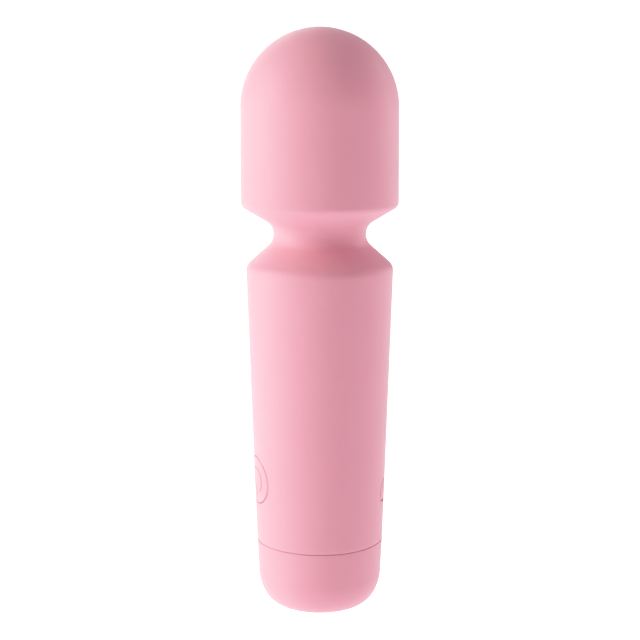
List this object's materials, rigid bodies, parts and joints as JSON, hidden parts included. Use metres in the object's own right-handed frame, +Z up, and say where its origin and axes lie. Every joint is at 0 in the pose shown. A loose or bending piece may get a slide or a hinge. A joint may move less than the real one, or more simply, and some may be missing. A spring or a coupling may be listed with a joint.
{
  "type": "handheld wand massager",
  "caption": "Small soft-skinned wand massager with a round-topped head on a flexing neck, a tapered handle, a push button, a charging plug and a pull-off base cap.",
  "frame": {"origin": "middle of the flat underside of the base, where the wand stands", "axes": "+Z up the handle to the top of the head; -Y is the side with the power button; the charging plug faces between +X and +Y"},
  "size_m": [0.03, 0.03, 0.1115],
  "materials": {
    "silicone_pink": "soft matte",
    "abs_white": "moulded",
    "plug_metal": "fine turned",
    "rubber_dark": "matte",
    "steel": "zinc plated",
    "bronze": "sprung strip",
    "copper": "turned",
    "ferrite": "sintered",
    "iron": "stacked laminations",
    "tungsten": "sintered",
    "board_green": "solder mask",
    "plastic_black": "moulded",
    "led_lens": "clear",
    "cell_case": "satin drawn case",
    "foam": "closed-cell foam",
    "wire_red": "insulation",
    "wire_black": "insulation",
    "wire_yellow": "insulation",
    "nylon": "moulded"
  },
  "bodies": {
    "handle": {"handle_sleeve": "silicone_pink", "chassis_front": "abs_white", "chassis_rear": "abs_white", "chassis_screw_1": "steel", "chassis_screw_2": "steel", "chassis_screw_3": "steel", "chassis_screw_4": "steel", "pcb": "board_green", "tact_switch": "steel", "status_led": "led_lens", "control_chip": "plastic_black", "battery_cell": "cell_case", "battery_pad": "foam", "battery_wire_red": "wire_red", "battery_wire_black": "wire_black", "charge_jack": "plastic_black", "jack_pin": "bronze", "charge_wire_yellow": "wire_yellow", "charge_wire_black": "wire_black"},
    "base_cap": {"base_cap": "silicone_pink", "base_cap_plug": "plug_metal", "base_o_ring": "rubber_dark"},
    "button": {"power_button": "silicone_pink", "button_key": "abs_white", "switch_plunger": "plastic_black"},
    "port_bung": {"charge_port_bung": "silicone_pink"},
    "neck": {"neck_sleeve": "silicone_pink", "neck_core": "rubber_dark", "motor_wire_red": "wire_red", "motor_wire_black": "wire_black"},
    "head": {"head_sleeve": "silicone_pink", "head_shell_lower": "abs_white", "head_shell_upper": "abs_white", "motor_mount": "rubber_dark", "motor_can": "steel", "motor_bush": "bronze", "motor_magnet_left": "ferrite", "motor_magnet_right": "ferrite", "motor_end_cap": "nylon", "motor_terminal_left": "bronze", "motor_terminal_right": "bronze"},
    "rotor": {"rotor_shaft": "steel", "commutator": "copper", "armature": "iron", "eccentric_weight": "tungsten"}
  },
  "joints": [
    {"name": "neck_nod", "type": "hinge", "parent": "handle", "child": "neck", "pos_m": [0, 0, 0.0727], "axis": [1, 0, 0], "range_deg": [-12, 12], "stiffness_Nm_per_rad": 2, "deforming": ["neck_sleeve", "neck_core", "motor_wire_red", "motor_wire_black"]},
    {"name": "neck_sway", "type": "hinge", "parent": "neck", "child": "head", "pos_m": [0, 0, 0.0727], "axis": [0, 1, 0], "range_deg": [-12, 12], "stiffness_Nm_per_rad": 2, "deforming": ["neck_sleeve", "neck_core", "motor_wire_red", "motor_wire_black"]},
    {"name": "rotor_spin", "type": "hinge", "parent": "head", "child": "rotor", "pos_m": [0, 0, 0.0862], "axis": [0, 0, 1], "continuous": true},
    {"name": "button_press", "type": "slide", "parent": "handle", "child": "button", "axis": [0, 1, 0], "range_m": [0, 0.0004], "stiffness_N_per_m": 400},
    {"name": "port_bung_pull", "type": "slide", "parent": "handle", "child": "port_bung", "axis": [0.4924, 0.8704, 0], "range_m": [0, 0.006]},
    {"name": "base_cap_pull", "type": "slide", "parent": "handle", "child": "base_cap", "axis": [0, 0, -1], "range_m": [0, 0.008]}
  ]
}
